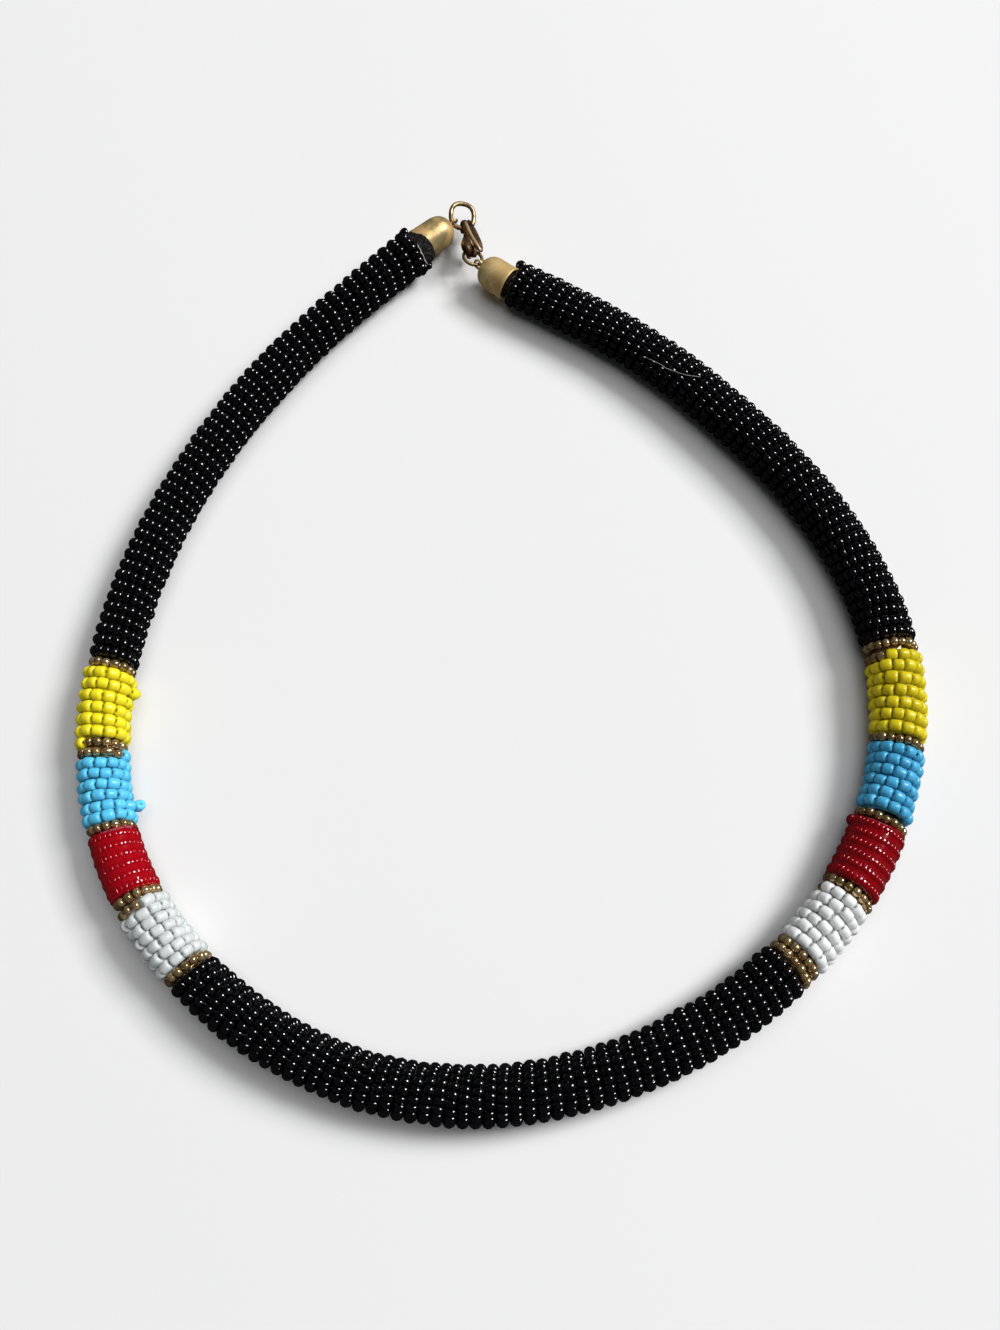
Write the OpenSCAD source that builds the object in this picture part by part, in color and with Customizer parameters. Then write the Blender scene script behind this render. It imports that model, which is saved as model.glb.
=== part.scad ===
/* [Rope] */

// gap between two sections of beads, mm
section_gap = 0.1; // [0.05:0.05:0.4]
// gap between the beads and the core, mm
core_gap = 0.15; // [0.1:0.05:0.4]
// how far each row of beads stands out of the groove beside it, mm
ridge = 0.45; // [0.1:0.05:0.9]
// sides of the rope's outline
rope_sides = 12; // [8:2:16]
// distance between the rings of the core and of the beads' inner wall, mm
inner_step = 5; // [3:1:8]

/* [End caps] */

// outer diameter of a cap, mm
cap_d = 6.8; // [6.4:0.1:7.6]
// wall of a cap, mm
cap_wall = 0.45; // [0.3:0.05:0.8]
// length of a cap with its dome, mm
cap_length = 7.25; // [6:0.25:9]
// length of the dome alone, mm
cap_dome = 2.9; // [2:0.1:3.4]
// diameter of the wire of a cap's eye, mm
eye_wire = 0.5; // [0.4:0.05:0.7]
// mid diameter of a cap's eye, mm
eye_d = 1.9; // [1.6:0.1:2.2]

/* [Rings] */

// wire of the large ring, mm
large_wire = 0.85; // [0.7:0.05:1]
// mid diameter of the large ring, mm
large_d = 5.3; // [5:0.1:6]
// wire of the small ring, mm
small_wire = 0.7; // [0.6:0.05:0.8]
// mid diameter of the small ring, mm
small_d = 3.6; // [3.4:0.1:4.2]

/* [Clasp] */

// thickness of the clasp's body, mm
clasp_t = 1.9; // [1.6:0.1:2.4]
// thickness of the lever, mm
lever_t = 0.9; // [0.7:0.05:1]
// diameter of the rivet, mm
rivet_d = 0.7; // [0.6:0.05:0.9]
// clearance of the lever on its rivet, mm
lever_fit = 0.05; // [0.03:0.01:0.08]

/* [Hidden] */

// course of the rope, one row every 15 mm of thread from the left end:
// [heading in degrees, core diameter, height of the centre line]
course = [
  [-137, 5.3, 4.9],
  [-136, 4.9, 4.7],
  [-132, 4.85, 4.55],
  [-126.5, 5, 4.6],
  [-120.5, 4.85, 4.55],
  [-114, 4.95, 4.6],
  [-106.5, 4.95, 4.6],
  [-98.5, 4.95, 4.8],
  [-88.5, 5.1, 4.95],
  [-75, 4.8, 4.7],
  [-60, 5, 4.8],
  [-46, 5.05, 4.8],
  [-34.5, 5.45, 4.85],
  [-22.5, 5.4, 4.85],
  [-9.5, 5.75, 5],
  [3.5, 5.95, 5.1],
  [15, 5.8, 5.05],
  [25, 5.85, 5.05],
  [35, 5.85, 5.05],
  [46.5, 5.6, 5],
  [58.5, 5.85, 5.1],
  [71.5, 5.6, 5],
  [85.5, 5.85, 5.2],
  [100.5, 6, 5.2],
  [113.5, 5.6, 4.95],
  [124, 5.55, 4.9],
  [131.5, 5.55, 4.9],
  [136, 5.45, 4.85],
  [143, 5.25, 4.75],
  [150, 5.25, 4.75],
  [151, 5.1, 4.9]
];
course_step = 15;
stretch = 1.003; // length of the centre line for each mm of the rows' places
rope_start = [-16, 80.2];
fine = 0.5;

// sections of beads: [first mm, last mm, rows, bead thickness, colour]
gold = [0.72, 0.55, 0.25];
black = [0.06, 0.06, 0.07];
yellow = [0.93, 0.83, 0.15];
blue = [0.35, 0.68, 0.88];
red = [0.78, 0.04, 0.10];
white = [0.92, 0.93, 0.92];
sections = [
  [1.4,    108,    49, 2.1,  black],
  [108,    110,    1,  1.9,  gold],
  [110,    122.7,  6,  2.35, yellow],
  [122.7,  126.4,  2,  1.9,  gold],
  [126.4,  138,    6,  2.25, blue],
  [138,    139.75, 1,  1.9,  gold],
  [139.75, 151.05, 6,  2.05, red],
  [151.05, 152.95, 1,  1.9,  gold],
  [152.95, 166.25, 7,  2.25, white],
  [166.25, 168.2,  1,  1.9,  gold],
  [168.2,  278.35, 53, 2.1,  black],
  [278.35, 282,    2,  1.9,  gold],
  [282,    294.25, 6,  2.15, white],
  [294.25, 296.3,  1,  1.9,  gold],
  [296.3,  308.15, 6,  2.15, red],
  [308.15, 310.45, 1,  1.9,  gold],
  [310.45, 323.05, 6,  2.15, blue],
  [323.05, 325.05, 1,  1.9,  gold],
  [325.05, 338.6,  6,  2.2,  yellow],
  [338.6,  343.05, 2,  1.9,  gold],
  [343.05, 449.1,  49, 2.1,  black]
];

// places of the metal parts: mouth of each cap, and the angle its axis points at
left_mouth = [-16.25, 80.15, 4.9];
left_angle = 39;
right_mouth = [1.55, 70.35, 4.9];
right_angle = 143.5;
large_at = [-8.1, 86.85, 4.7];
large_turn = [8.5, 13.5, 0];
small_at = [-5.95, 76.5, 5.1];
small_turn = [-6, 17.5, 0];
clasp_at = [-5.65, 77.35, 4.85];
clasp_turn = [-73, 4.5, 103];

// the clasp lies flat here, its eye at the origin end and its crown along X:
// outline of the spine and hook, [along, across]
hook = [
  [0.7, -0.9],
  [1.6, -1.05],
  [2.8, -1.25],
  [4.5, -1.25],
  [6.2, -1.2],
  [7.6, -1.15],
  [8.6, -0.75],
  [9.1, 0.15],
  [8.95, 1],
  [8.35, 1.5],
  [7.5, 1.65],
  [7, 1.5],
  [7, 0.95],
  [7.75, 0.95],
  [8.3, 0.6],
  [8.3, -0.05],
  [7.8, -0.6],
  [6.2, -0.6],
  [4.5, -0.6],
  [3.9, 0.2],
  [2.7, 0.6],
  [1.4, 0.6]
];
// outline of the lever with its thumb tab and gate
lever = [
  [2.1, 0.9],
  [3.3, 0.9],
  [4.2, 0.95],
  [6.6, 0.9],
  [6.65, 1.45],
  [4.6, 1.55],
  [4.2, 2.2],
  [3.6, 2.95],
  [2.7, 3.25],
  [1.9, 3.2],
  [1.7, 2.85],
  [2.2, 2.5],
  [2.1, 1.8]
];
lever_pivot = [2.75, 1.4];
base_eye = [0.8, -0.1];

// value of column c of the course at s mm from the left end, smoothed through its rows
function row(i, c) = course[min(max(i, 0), len(course) - 1)][c];
function ease(a, b, c, d, u) =
  b + 0.5 * u * (c - a + u * (2 * a - 5 * b + 4 * c - d + u * (3 * (b - c) + d - a)));
function along(s, c) =
  let (i = min(floor(max(s, 0) / course_step), len(course) - 2), u = max(s, 0) / course_step - i)
  ease(row(i - 1, c), row(i, c), row(i + 1, c), row(i + 2, c), u);

// points of the centre line every half millimetre, seen from above
path_points = [
  for (
    i = 0, p = rope_start;
    i <= 450 / fine;
    i = i + 1,
    p = p + stretch * fine * [cos(along((i - 0.5) * fine, 0)), sin(along((i - 0.5) * fine, 0))]
  ) p
];
function centre(s) =
  let (
    i = min(max(floor(s / fine), 0), len(path_points) - 2),
    u = s / fine - i,
    p = path_points[i] + u * (path_points[i + 1] - path_points[i])
  )
  [p[0], p[1], along(s, 2)];

// one ring of points round the centre line: the side away from the neck comes first
function ring(s, r) =
  let (h = along(s, 0), p = centre(s))
  [
    for (k = [0 : rope_sides - 1])
      let (a = 360 * k / rope_sides)
      p + r * [cos(a) * sin(h), -cos(a) * cos(h), sin(a)]
  ];

// rings joined one after the next; a closed band comes back to its first ring
function flat(lists) = [for (l = lists) for (p = l) p];
function band(i, j, n) = [
  for (k = [0 : n - 1])
    let (m = (k + 1) % n)
    for (f = [[i * n + k, j * n + k, i * n + m], [i * n + m, j * n + k, j * n + m]]) f
];

module closed_band(rings) {
  n = rope_sides;
  count = len(rings);
  polyhedron(flat(rings), flat([for (i = [0 : count - 1]) band(i, (i + 1) % count, n)]));
}

module capped_band(rings) {
  n = rope_sides;
  last = len(rings) - 1;
  ends = [[for (k = [0 : n - 1]) k], [for (k = [n - 1 : -1 : 0]) last * n + k]];
  polyhedron(flat(rings), concat(flat([for (i = [0 : last - 1]) band(i, i + 1, n)]), ends));
}

// a sleeve of beads: each row is a ridge, and the bore follows the core
module beads(number) {
  t = sections[number];
  start = t[0] + section_gap / 2;
  end = t[1] - section_gap / 2;
  pitch = (end - start) / t[2];
  outer = [
    for (i = [0 : 2 * t[2]])
      let (s = start + i * pitch / 2)
      ring(s, along(s, 1) / 2 + t[3] - (i % 2 == 0 ? ridge : 0))
  ];
  steps = max(1, round((end - start) / inner_step));
  inner = [
    for (i = [steps : -1 : 0])
      let (s = start + i * (end - start) / steps)
      ring(s, along(s, 1) / 2 + core_gap)
  ];
  color(t[4]) closed_band(concat(outer, inner));
}

// rings of the core's neck inside a cap: the cap's mouth is at m and its axis at angle a
function neck(m, a, depth, r) = [
  for (k = [0 : rope_sides - 1])
    let (b = 360 * k / rope_sides)
    m + depth * [cos(a), sin(a), 0] + r * [cos(b) * sin(a), -cos(b) * cos(a), sin(b)]
];

module core() {
  steps = round(447 / inner_step);
  left = [
    neck(left_mouth, left_angle + 180, -3.2, 2.4),
    neck(left_mouth, left_angle + 180, 0.25, 2.4),
    ring(0.7, 3.7),
    ring(1.2, 3.7)
  ];
  middle = [
    for (i = [0 : steps])
      let (s = 1.3 + i * (448.9 - 1.3) / steps)
      ring(s, along(s, 1) / 2)
  ];
  right = [
    ring(449.2, 2.6),
    neck(right_mouth, right_angle, -0.4, 2.4),
    neck(right_mouth, right_angle, 3.2, 2.4)
  ];
  color([0.05, 0.05, 0.05]) capped_band(concat(left, middle, right));
}

// a cap stands on its mouth here, with its eye on top
module cap() {
  r = cap_d / 2;
  straight = cap_length - cap_dome;
  dome_steps = 7;
  outside = [
    for (i = [0 : dome_steps])
      let (a = 90 * i / dome_steps)
      [r * cos(a), straight + cap_dome * sin(a)]
  ];
  color([0.70, 0.56, 0.30]) {
    difference() {
      rotate_extrude($fn = 64) polygon(concat([[0, 0], [r, 0]], outside));
      translate([0, 0, -1]) cylinder(r = r - cap_wall, h = straight + 1, $fn = 64);
    }
    translate([0, 0, cap_length + 0.65])
      rotate([90, 0, 0])
        rotate_extrude($fn = 48) translate([eye_d / 2, 0]) circle(d = eye_wire, $fn = 32);
  }
}

module placed_cap(mouth, angle, roll) {
  translate(mouth) rotate([0, 0, angle]) rotate([0, 90, 0]) rotate([0, 0, roll]) cap();
}

module cap_left() {
  placed_cap(left_mouth, left_angle, 15);
}

module cap_right() {
  placed_cap(right_mouth, right_angle, 18);
}

module wire_ring(d, wire) {
  color([0.55, 0.42, 0.24])
    rotate_extrude($fn = 64) translate([d / 2, 0]) circle(d = wire, $fn = 32);
}

module ring_large() {
  translate(large_at) rotate(large_turn) wire_ring(large_d, large_wire);
}

module ring_small() {
  translate(small_at) rotate(small_turn) wire_ring(small_d, small_wire);
}

module placed_clasp() {
  translate(clasp_at) rotate(clasp_turn) children();
}

module clasp_body() {
  color([0.55, 0.42, 0.24])
    placed_clasp()
      difference() {
        union() {
          translate([0, 0, -clasp_t / 2]) linear_extrude(clasp_t) polygon(hook);
          translate([lever_pivot[0], lever_pivot[1], -clasp_t / 2])
            cylinder(r = 0.9, h = clasp_t, $fn = 40);
          translate([base_eye[0], base_eye[1], -0.4]) cylinder(r = 1.15, h = 0.8, $fn = 40);
        }
        // the two cheeks on either side of the lever
        translate([1.2, 0.5, -lever_t / 2 - 0.05]) cube([3.2, 2.4, lever_t + 0.1]);
        translate([lever_pivot[0], lever_pivot[1], -2])
          cylinder(d = rivet_d + 0.02, h = 4, $fn = 32);
        // the eye at the base, thinner than the body
        translate([base_eye[0], base_eye[1], -2]) cylinder(r = 0.75, h = 4, $fn = 32);
        translate([-1, -2, 0.4]) cube([3, 2.4, 2]);
        translate([-1, -2, -2.4]) cube([3, 2.4, 2]);
      }
}

module clasp_rivet() {
  color([0.62, 0.50, 0.30])
    placed_clasp()
      translate([lever_pivot[0], lever_pivot[1], -clasp_t / 2])
        cylinder(d = rivet_d, h = clasp_t, $fn = 32);
}

module clasp_lever() {
  color([0.60, 0.46, 0.26])
    placed_clasp()
      difference() {
        union() {
          translate([0, 0, -lever_t / 2]) linear_extrude(lever_t) polygon(lever);
          translate([lever_pivot[0], lever_pivot[1], -lever_t / 2])
            cylinder(r = 0.75, h = lever_t, $fn = 40);
        }
        translate([lever_pivot[0], lever_pivot[1], -2])
          cylinder(d = rivet_d + 2 * lever_fit, h = 4, $fn = 32);
      }
}

module black_back_left() {
  beads(0);
}

module gold_left_1() {
  beads(1);
}

module yellow_left() {
  beads(2);
}

module gold_left_2() {
  beads(3);
}

module blue_left() {
  beads(4);
}

module gold_left_3() {
  beads(5);
}

module red_left() {
  beads(6);
}

module gold_left_4() {
  beads(7);
}

module white_left() {
  beads(8);
}

module gold_left_5() {
  beads(9);
}

module black_front() {
  beads(10);
}

module gold_right_1() {
  beads(11);
}

module white_right() {
  beads(12);
}

module gold_right_2() {
  beads(13);
}

module red_right() {
  beads(14);
}

module gold_right_3() {
  beads(15);
}

module blue_right() {
  beads(16);
}

module gold_right_4() {
  beads(17);
}

module yellow_right() {
  beads(18);
}

module gold_right_5() {
  beads(19);
}

module black_back_right() {
  beads(20);
}

core();
black_back_left();
gold_left_1();
yellow_left();
gold_left_2();
blue_left();
gold_left_3();
red_left();
gold_left_4();
white_left();
gold_left_5();
black_front();
gold_right_1();
white_right();
gold_right_2();
red_right();
gold_right_3();
blue_right();
gold_right_4();
yellow_right();
gold_right_5();
black_back_right();
cap_left();
cap_right();
ring_large();
ring_small();
clasp_body();
clasp_rivet();
clasp_lever();
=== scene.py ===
import math
import random

import bmesh
import bpy
from mathutils import Euler, Matrix, Vector


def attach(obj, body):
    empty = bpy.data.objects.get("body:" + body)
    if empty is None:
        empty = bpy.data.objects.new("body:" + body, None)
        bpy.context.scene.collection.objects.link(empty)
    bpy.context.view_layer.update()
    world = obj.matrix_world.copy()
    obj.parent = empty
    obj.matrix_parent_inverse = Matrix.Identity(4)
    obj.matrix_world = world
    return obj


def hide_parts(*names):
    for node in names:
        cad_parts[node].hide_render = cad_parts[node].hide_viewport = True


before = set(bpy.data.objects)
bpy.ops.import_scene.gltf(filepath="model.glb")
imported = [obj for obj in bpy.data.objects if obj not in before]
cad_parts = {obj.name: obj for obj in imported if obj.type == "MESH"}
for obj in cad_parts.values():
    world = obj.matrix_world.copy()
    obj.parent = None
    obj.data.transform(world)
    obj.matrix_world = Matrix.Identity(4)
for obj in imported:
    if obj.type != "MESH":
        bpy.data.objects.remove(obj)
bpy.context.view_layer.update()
mm = 0.001
print("frame loaded:", len(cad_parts), "nodes")


# camera and light

shot = {
    "place": (-0.45, -76.5, 213.84),  # mm
    "tilt": 17.5,  # degrees from straight down
    "lens": 32.48,
    "sensor": 36,
    "clipStart": 5,  # mm
}
light = {
    "keyPlace": (3.45, 1.45, 3.6),
    "keySize": 1.9,
    "keyPower": 280.0,
    "softPlace": (0.45, 0.6, 3.6),
    "softSize": 3.2,
    "softPower": 62.0,
    "worldColour": (0.93, 0.95, 1.0, 1),
    "worldStrength": 0.035,
}

bpy.ops.object.select_all(action="DESELECT")
bpy.ops.object.camera_add(
    location=[v * mm for v in shot["place"]],
    rotation=(math.radians(shot["tilt"]), 0, 0),
)
camera = bpy.context.object
camera.name = "photoCamera"
camera.data.lens = shot["lens"]
camera.data.sensor_width = shot["sensor"]
camera.data.clip_start = shot["clipStart"] * mm
bpy.context.scene.camera = camera
bpy.context.scene.view_settings.view_transform = "Standard"


def addArea(name, place, size, power):
    bpy.ops.object.light_add(type="AREA", location=place)
    lamp = bpy.context.object
    lamp.name = name
    lamp.data.size = size
    lamp.data.energy = power
    lamp.rotation_euler = (-Vector(place)).to_track_quat("-Z", "Y").to_euler()
    return lamp


addArea("keyLight", light["keyPlace"], light["keySize"], light["keyPower"])
softLight = addArea("softLight", light["softPlace"], light["softSize"], light["softPower"])
softLight.visible_glossy = False  # the fill shows in no bead, only the key does

world = bpy.data.worlds.new("paleRoom")
bpy.context.scene.world = world
world.use_nodes = True
background = world.node_tree.nodes["Background"]
background.inputs["Color"].default_value = light["worldColour"]
background.inputs["Strength"].default_value = light["worldStrength"]


# small helpers

mergeDistance = 0.002 * mm


def clearSelection():
    if bpy.context.object and bpy.context.object.mode != "OBJECT":
        bpy.ops.object.mode_set(mode="OBJECT")
    bpy.ops.object.select_all(action="DESELECT")


def pick(piece):
    clearSelection()
    piece.select_set(True)
    bpy.context.view_layer.objects.active = piece


def applyModifiers(piece):
    pick(piece)
    for modifier in list(piece.modifiers):
        bpy.ops.object.modifier_apply(modifier=modifier.name)


def settle(piece):
    pick(piece)
    bpy.ops.object.transform_apply(location=True, rotation=True, scale=True)


def joinPieces(name, pieces):
    clearSelection()
    for piece in pieces:
        piece.select_set(True)
    bpy.context.view_layer.objects.active = pieces[0]
    bpy.ops.object.join()
    joined = bpy.context.object
    joined.name = name
    joined.data.name = name
    return joined


def fixNormals(piece):
    pick(piece)
    bpy.ops.object.mode_set(mode="EDIT")
    bpy.ops.mesh.select_all(action="SELECT")
    bpy.ops.mesh.remove_doubles(threshold=mergeDistance)
    bpy.ops.mesh.normals_make_consistent(inside=False)
    bpy.ops.object.mode_set(mode="OBJECT")


def makeTube(name, points, radii, roundness):
    # a round closed tube along the points, in mm; roundness is the curve's bevel resolution
    curve = bpy.data.curves.new(name, "CURVE")
    curve.dimensions = "3D"
    curve.bevel_depth = 1.0
    curve.bevel_resolution = roundness
    curve.use_fill_caps = True
    spline = curve.splines.new("POLY")
    spline.points.add(len(points) - 1)
    for item, point, radius in zip(spline.points, points, radii):
        item.co = (*[v * mm for v in point], 1)
        item.radius = radius * mm
    tube = bpy.data.objects.new(name, curve)
    bpy.context.scene.collection.objects.link(tube)
    pick(tube)
    bpy.ops.object.convert(target="MESH")
    tube = bpy.context.object
    fixNormals(tube)
    bpy.ops.object.shade_smooth()
    return tube


def selectFaces(piece, keep):
    mesh = bmesh.from_edit_mesh(piece.data)
    for face in mesh.faces:
        face.select = bool(keep(face))
    mesh.select_flush_mode()
    bmesh.update_edit_mesh(piece.data)


def isEnd(face):
    # the flat end of a form that stands along z
    return abs(face.normal.z) > 0.98


def setTone(piece, value):
    layer = piece.data.attributes.new("tone", "FLOAT", "POINT")
    for item in layer.data:
        item.value = value


def finishPiece(piece, material, body, nodes=()):
    piece.data.materials.clear()
    piece.data.materials.append(material)
    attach(piece, body)
    if nodes:
        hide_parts(*nodes)


# course of the rope, as in the solid model: heading, core diameter, centre height, every 15 mm
ropeCourse = [
    (-137, 5.3, 4.9),
    (-136, 4.9, 4.7),
    (-132, 4.85, 4.55),
    (-126.5, 5, 4.6),
    (-120.5, 4.85, 4.55),
    (-114, 4.95, 4.6),
    (-106.5, 4.95, 4.6),
    (-98.5, 4.95, 4.8),
    (-88.5, 5.1, 4.95),
    (-75, 4.8, 4.7),
    (-60, 5, 4.8),
    (-46, 5.05, 4.8),
    (-34.5, 5.45, 4.85),
    (-22.5, 5.4, 4.85),
    (-9.5, 5.75, 5),
    (3.5, 5.95, 5.1),
    (15, 5.8, 5.05),
    (25, 5.85, 5.05),
    (35, 5.85, 5.05),
    (46.5, 5.6, 5),
    (58.5, 5.85, 5.1),
    (71.5, 5.6, 5),
    (85.5, 5.85, 5.2),
    (100.5, 6, 5.2),
    (113.5, 5.6, 4.95),
    (124, 5.55, 4.9),
    (131.5, 5.55, 4.9),
    (136, 5.45, 4.85),
    (143, 5.25, 4.75),
    (150, 5.25, 4.75),
    (151, 5.1, 4.9),
]
rope = {
    # mm: between rows, start and length of the route with a little to spare, step of the route
    "rowStep": 15, "start": (-16, 80.2), "length": 453, "fineStep": 0.5,
    "stretch": 1.003,  # the route's length for each mm along the rope
    "radius": 5.0,  # mm, the usual one
}


def alongCourse(s, column):
    # a smooth curve through one column of the rows, s mm from the left end
    last = len(ropeCourse) - 1
    i = min(int(max(s, 0) // rope["rowStep"]), last - 1)
    u = max(s, 0) / rope["rowStep"] - i
    a, b, c, d = (ropeCourse[min(max(k, 0), last)][column] for k in (i - 1, i, i + 1, i + 2))
    return b + 0.5 * u * (c - a + u * (2 * a - 5 * b + 4 * c - d + u * (3 * (b - c) + d - a)))


def headingAt(s):
    return math.radians(alongCourse(s, 0))


def coreRadius(s):
    return alongCourse(s, 1) / 2


routePoints = [Vector(rope["start"])]
for i in range(int(rope["length"] / rope["fineStep"])):
    angle = headingAt((i + 0.5) * rope["fineStep"])
    step = rope["stretch"] * rope["fineStep"] * Vector((math.cos(angle), math.sin(angle)))
    routePoints.append(routePoints[-1] + step)


def centrePoint(s):
    i = min(max(int(s // rope["fineStep"]), 0), len(routePoints) - 2)
    p = routePoints[i].lerp(routePoints[i + 1], s / rope["fineStep"] - i)
    return Vector((p.x, p.y, alongCourse(s, 2)))


def ropePoint(s, around, out):
    # around: 0 is the outer side of the loop, 90 the top, 180 the neck's side, 270 the floor's
    heading = headingAt(s)
    side = Vector((math.sin(heading), -math.cos(heading), 0))
    turn = math.radians(around)
    return centrePoint(s) + out * (math.cos(turn) * side + Vector((0, 0, math.sin(turn))))


# materials

def newMaterial(name):
    material = bpy.data.materials.new(name)
    material.use_nodes = True
    tree = material.node_tree
    shader = tree.nodes["Principled BSDF"]
    return material, tree, shader


def addNode(tree, kind, **values):
    node = tree.nodes.new(kind)
    for key, value in values.items():
        if key in node.inputs.keys():
            node.inputs[key].default_value = value
        else:
            setattr(node, key, value)
    return node


def makeGroup(name, inputs, outputs):
    group = bpy.data.node_groups.new(name, "ShaderNodeTree")
    for label, kind, value in inputs:
        socket = group.interface.new_socket(label, in_out="INPUT", socket_type=kind)
        socket.default_value = value
    for label, kind in outputs:
        group.interface.new_socket(label, in_out="OUTPUT", socket_type=kind)
    start = group.nodes.new("NodeGroupInput")
    end = group.nodes.new("NodeGroupOutput")
    return group, start, end


def useGroup(tree, group, **values):
    node = tree.nodes.new("ShaderNodeGroup")
    node.node_tree = group
    for key, value in values.items():
        node.inputs[key].default_value = value
    return node


def mixColour(tree, factor, first, second):
    # each of the three is a value or an output socket; a colour mix has them at 0, 6 and 7
    mix = tree.nodes.new("ShaderNodeMix")
    mix.data_type = "RGBA"
    for socket, value in ((mix.inputs[0], factor), (mix.inputs[6], first), (mix.inputs[7], second)):
        if isinstance(value, bpy.types.NodeSocket):
            tree.links.new(value, socket)
        else:
            socket.default_value = value
    return mix.outputs[2]


# one glass bead differs a little from the next in shade, and its surface is never quite even
beadGroup, groupIn, groupOut = makeGroup(
    "beadVariation",
    [
        ("Light Shade", "NodeSocketColor", (1, 1, 1, 1)),
        ("Dark Shade", "NodeSocketColor", (0.5, 0.5, 0.5, 1)),
        ("Grain Size", "NodeSocketFloat", 900.0),
        ("Grain Height", "NodeSocketFloat", 0.1),
        ("Dull", "NodeSocketFloat", 0.3),
        ("Shiny", "NodeSocketFloat", 0.1),
    ],
    [
        ("Color", "NodeSocketColor"),
        ("Roughness", "NodeSocketFloat"),
        ("Normal", "NodeSocketVector"),
    ],
)
tone = addNode(beadGroup, "ShaderNodeAttribute", attribute_name="tone")
coords = addNode(beadGroup, "ShaderNodeTexCoord")
grain = addNode(beadGroup, "ShaderNodeTexNoise", Detail=3.0, Roughness=0.6)
beadGroup.links.new(coords.outputs["Object"], grain.inputs["Vector"])
beadGroup.links.new(groupIn.outputs["Grain Size"], grain.inputs["Scale"])
beadGroup.links.new(
    mixColour(
        beadGroup, tone.outputs["Fac"],
        groupIn.outputs["Dark Shade"], groupIn.outputs["Light Shade"],
    ),
    groupOut.inputs["Color"],
)
gloss = addNode(beadGroup, "ShaderNodeMapRange")
beadGroup.links.new(grain.outputs["Fac"], gloss.inputs["Value"])
beadGroup.links.new(groupIn.outputs["Shiny"], gloss.inputs["To Min"])
beadGroup.links.new(groupIn.outputs["Dull"], gloss.inputs["To Max"])
beadGroup.links.new(gloss.outputs["Result"], groupOut.inputs["Roughness"])
lump = addNode(beadGroup, "ShaderNodeBump", Distance=0.0001)
beadGroup.links.new(grain.outputs["Fac"], lump.inputs["Height"])
beadGroup.links.new(groupIn.outputs["Grain Height"], lump.inputs["Strength"])
beadGroup.links.new(lump.outputs["Normal"], groupOut.inputs["Normal"])

tarnishLook = {
    # where the patches' edge lies on the noise, for each part of Amount, and how wide it is
    "edgePerAmount": -0.5, "edgeStart": 0.74, "edgeWidth": 0.16,
    "cleanRoughness": 0.36, "stainedRoughness": 0.56,
    "scratchScale": 2600.0,
}
# tarnish: brown patches over brass, with bright rubbed places and fine scratches; where a piece's
# tone is 1, a lighter brass is painted in, painted light
tarnishAndPaintedLightGroup, groupIn, groupOut = makeGroup(
    "brassTarnish",
    [
        ("Bright", "NodeSocketColor", (0.75, 0.58, 0.28, 1)),
        ("Brown", "NodeSocketColor", (0.2, 0.12, 0.05, 1)),
        ("Patch Size", "NodeSocketFloat", 600.0),
        ("Amount", "NodeSocketFloat", 0.5),
        ("Scratch Height", "NodeSocketFloat", 0.1),
        # painted light: the lighter brass that a tone of 1 paints in
        ("Polished", "NodeSocketColor", (0.75, 0.58, 0.28, 1)),
    ],
    [
        ("Color", "NodeSocketColor"),
        ("Roughness", "NodeSocketFloat"),
        ("Normal", "NodeSocketVector"),
    ],
)
coords = addNode(tarnishAndPaintedLightGroup, "ShaderNodeTexCoord")
patches = addNode(tarnishAndPaintedLightGroup, "ShaderNodeTexNoise", Detail=5.0, Roughness=0.62)
tarnishAndPaintedLightGroup.links.new(coords.outputs["Object"], patches.inputs["Vector"])
tarnishAndPaintedLightGroup.links.new(groupIn.outputs["Patch Size"], patches.inputs["Scale"])
edge = addNode(tarnishAndPaintedLightGroup, "ShaderNodeMath", operation="MULTIPLY_ADD")
edge.inputs[1].default_value = tarnishLook["edgePerAmount"]
edge.inputs[2].default_value = tarnishLook["edgeStart"]
tarnishAndPaintedLightGroup.links.new(groupIn.outputs["Amount"], edge.inputs[0])
edgeTop = addNode(tarnishAndPaintedLightGroup, "ShaderNodeMath", operation="ADD")
edgeTop.inputs[1].default_value = tarnishLook["edgeWidth"]
tarnishAndPaintedLightGroup.links.new(edge.outputs[0], edgeTop.inputs[0])
stain = addNode(tarnishAndPaintedLightGroup, "ShaderNodeMapRange", interpolation_type="SMOOTHSTEP")
tarnishAndPaintedLightGroup.links.new(patches.outputs["Fac"], stain.inputs["Value"])
tarnishAndPaintedLightGroup.links.new(edge.outputs[0], stain.inputs["From Min"])
tarnishAndPaintedLightGroup.links.new(edgeTop.outputs[0], stain.inputs["From Max"])
# the tone is 0 on a piece that has none; toward 1 it mixes in the lighter brass, painted light
paintedLightTone = addNode(tarnishAndPaintedLightGroup, "ShaderNodeAttribute", attribute_name="tone")
paintedLitBrass = mixColour(
    tarnishAndPaintedLightGroup, paintedLightTone.outputs["Fac"],
    groupIn.outputs["Bright"], groupIn.outputs["Polished"],
)
tarnishAndPaintedLightGroup.links.new(
    mixColour(tarnishAndPaintedLightGroup, stain.outputs["Result"], paintedLitBrass, groupIn.outputs["Brown"]),
    groupOut.inputs["Color"],
)
dull = addNode(tarnishAndPaintedLightGroup, "ShaderNodeMapRange")
dull.inputs["To Min"].default_value = tarnishLook["cleanRoughness"]
dull.inputs["To Max"].default_value = tarnishLook["stainedRoughness"]
tarnishAndPaintedLightGroup.links.new(stain.outputs["Result"], dull.inputs["Value"])
tarnishAndPaintedLightGroup.links.new(dull.outputs["Result"], groupOut.inputs["Roughness"])
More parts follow.
